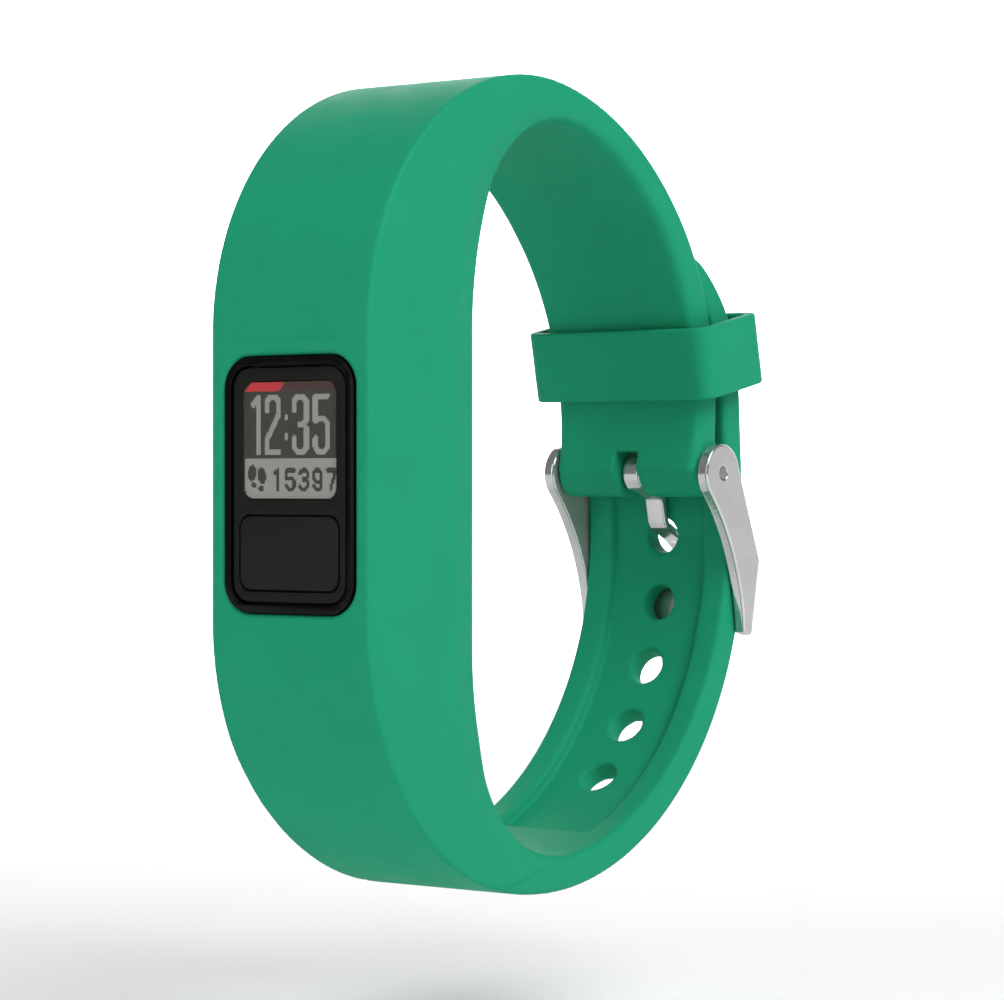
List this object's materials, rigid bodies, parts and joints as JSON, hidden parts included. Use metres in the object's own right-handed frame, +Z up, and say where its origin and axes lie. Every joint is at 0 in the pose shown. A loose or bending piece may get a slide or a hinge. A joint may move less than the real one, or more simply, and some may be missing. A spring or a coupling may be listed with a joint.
{
  "type": "fitness tracker band",
  "caption": "Soft moulded wristband holding a small rectangular tracker module with a display and a button, closed by a pin buckle and a sliding keeper.",
  "frame": {"origin": "centre of the wrist opening, at the middle of the band's width", "axes": "+X across the band along the wrist axis, -Y out through the display, +Z up along the head towards the buckle strap"},
  "size_m": [0.0212, 0.0594, 0.0728],
  "materials": {
    "band_silicone": "satin moulded silicone",
    "keeper_silicone": "satin moulded silicone",
    "buckle_steel": "satin faces with polished edges",
    "tongue_steel": "polished",
    "bar_steel": "satin",
    "housing_plastic": "semi gloss black",
    "face_plastic": "smooth satin",
    "display_lens": "clear, low gloss",
    "display_panel": "reflective liquid crystal display",
    "display_backing": "satin",
    "flex_cable": "satin",
    "button_plastic": "smooth satin",
    "seal_rubber": "matte",
    "contact_metal": "plated",
    "board": "solder resist",
    "chip_plastic": "matte",
    "antenna_ceramic": "matte",
    "cell_steel": "satin",
    "cover_plastic": "fine texture",
    "screw_steel": "satin"
  },
  "bodies": {
    "band": {"band": "band_silicone", "spring_bar_tube": "bar_steel", "spring_bar_spring": "bar_steel", "front_housing": "housing_plastic", "face_plate": "face_plastic", "display_lens": "display_lens", "display_panel": "display_panel", "display_backing": "display_backing", "flex_cable": "flex_cable", "button_seal": "seal_rubber", "dome_switch": "contact_metal", "circuit_board": "board", "processor_chip": "chip_plastic", "radio_chip": "chip_plastic", "motion_sensor": "chip_plastic", "timing_crystal": "contact_metal", "chip_antenna": "antenna_ceramic", "coin_cell": "cell_steel", "battery_contact_positive": "contact_metal", "battery_contact_negative": "contact_metal", "cover_gasket": "seal_rubber", "rear_cover": "cover_plastic", "cover_screws": "screw_steel"},
    "keeper": {"keeper_loop": "keeper_silicone"},
    "buckle": {"buckle_frame": "buckle_steel"},
    "tongue": {"buckle_tongue": "tongue_steel"},
    "button": {"button_cap": "button_plastic"},
    "bar_tip_left": {"spring_bar_tip_left": "bar_steel"},
    "bar_tip_right": {"spring_bar_tip_right": "bar_steel"}
  },
  "joints": [
    {"name": "keeper_slide", "type": "hinge", "parent": "band", "child": "keeper", "pos_m": [0, -0.00764, 0.00602], "axis": [1, 0, 0], "range_deg": [-5, 45]},
    {"name": "buckle_swing", "type": "hinge", "parent": "band", "child": "buckle", "pos_m": [0, 0.02203, 0.00111], "axis": [1, 0, 0], "range_deg": [0, 85]},
    {"name": "tongue_swing", "type": "hinge", "parent": "band", "child": "tongue", "pos_m": [0, 0.02203, 0.00111], "axis": [1, 0, 0], "range_deg": [-2.5, 0]},
    {"name": "button_press", "type": "slide", "parent": "band", "child": "button", "axis": [0, 1, 0], "range_m": [0, 0.00035], "stiffness_N_per_m": 300, "springref_m": -0.0003},
    {"name": "bar_tip_left_press", "type": "slide", "parent": "band", "child": "bar_tip_left", "axis": [1, 0, 0], "range_m": [0, 0.0013], "stiffness_N_per_m": 300, "springref_m": -0.0005, "deforming": ["spring_bar_spring"]},
    {"name": "bar_tip_right_press", "type": "slide", "parent": "band", "child": "bar_tip_right", "axis": [-1, 0, 0], "range_m": [0, 0.0013], "stiffness_N_per_m": 300, "springref_m": -0.0005, "deforming": ["spring_bar_spring"]}
  ]
}
